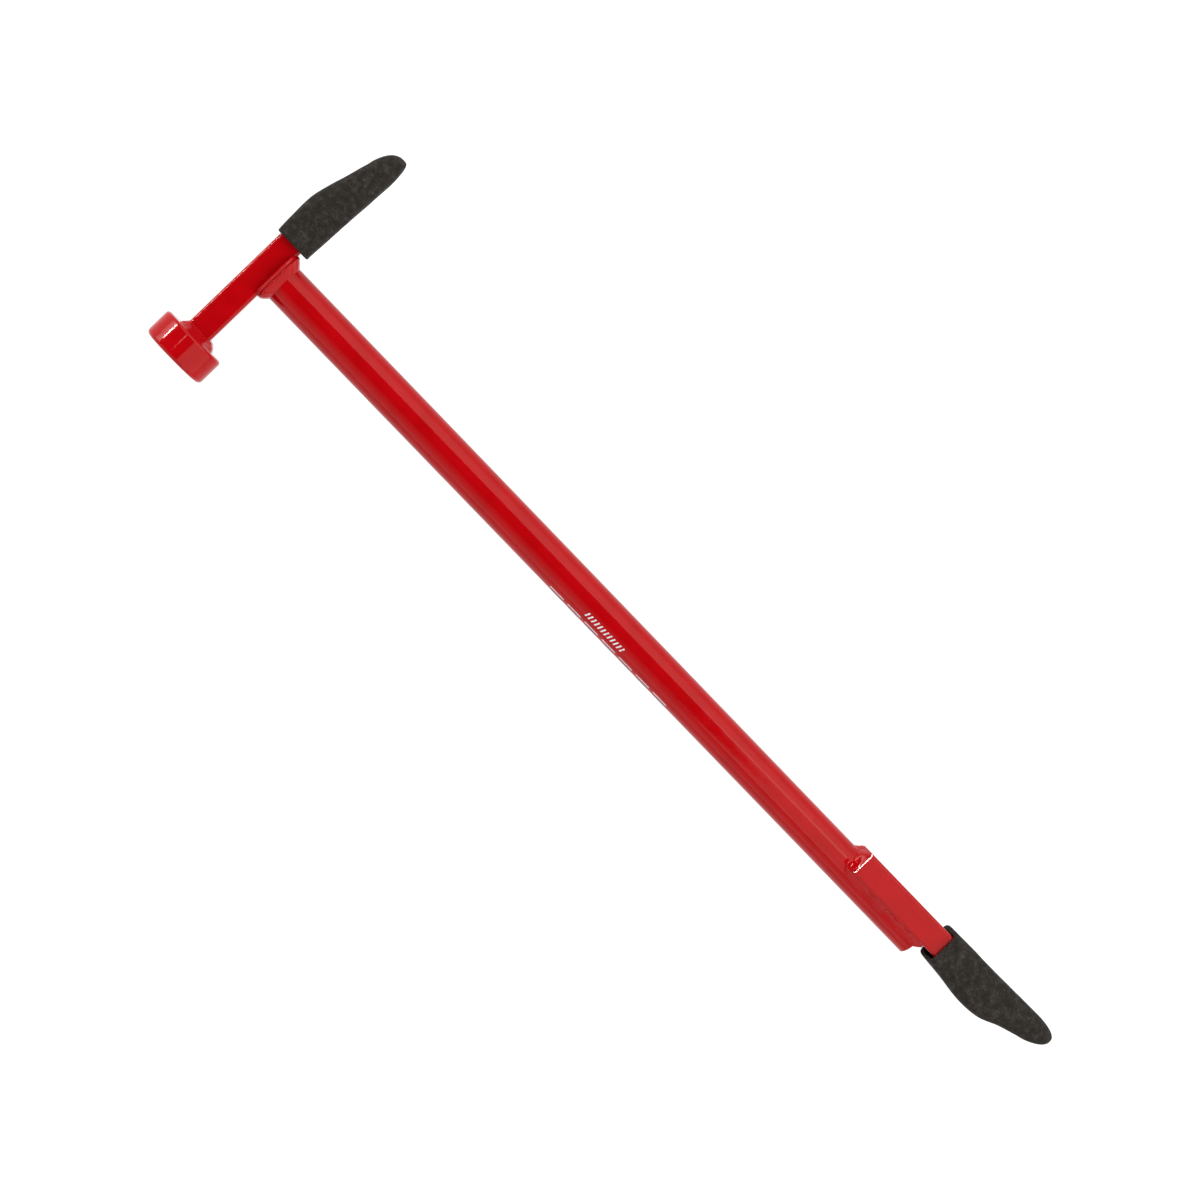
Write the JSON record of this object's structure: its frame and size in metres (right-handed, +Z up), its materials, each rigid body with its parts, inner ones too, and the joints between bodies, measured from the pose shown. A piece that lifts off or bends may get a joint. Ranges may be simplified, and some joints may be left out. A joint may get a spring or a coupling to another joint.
{
  "type": "hammer pick and chisel hand tool",
  "caption": "Welded steel hand tool: tubular handle, square cross head with a round hammer disc and a pick, a square chisel bar at the foot, and pull-off rubber caps.",
  "frame": {"origin": "on the surface the tool lies on, under the middle of its box", "axes": "+X along the handle from the head to the chisel point, +Y along the head from the hammer disc to the pick, +Z up as the tool lies on its side"},
  "size_m": [0.7886, 0.2056, 0.05],
  "materials": {
    "red_powder_coat": "glossy red powder coat over welded steel",
    "black_rubber": "matt moulded rubber, slightly dusty",
    "white_print": "white screen-printed ink, a plain band graphic with no lettering",
    "ground_steel": "bare ground steel on the hidden edges of the two points"
  },
  "bodies": {
    "tool": {"handle_tube": "red_powder_coat", "handle_end_plate": "red_powder_coat", "head_bar": "red_powder_coat", "hammer_disc": "red_powder_coat", "chisel_bar": "red_powder_coat", "head_weld_front": "red_powder_coat", "head_weld_rear": "red_powder_coat", "disc_weld_inner": "red_powder_coat", "disc_weld_rear": "red_powder_coat", "disc_weld_outer": "red_powder_coat", "disc_weld_front": "red_powder_coat", "chisel_weld_front": "red_powder_coat", "chisel_weld_side": "red_powder_coat", "chisel_weld_top": "red_powder_coat", "chisel_weld_end": "red_powder_coat"},
    "pick_cap": {"pick_cap": "black_rubber"},
    "chisel_cap": {"chisel_cap": "black_rubber"}
  },
  "joints": [
    {"name": "pick_cap_pull", "type": "slide", "parent": "tool", "child": "pick_cap", "axis": [0, 1, 0], "range_m": [0, 0.095]},
    {"name": "chisel_cap_pull", "type": "slide", "parent": "tool", "child": "chisel_cap", "axis": [1, 0, 0], "range_m": [0, 0.105]}
  ]
}
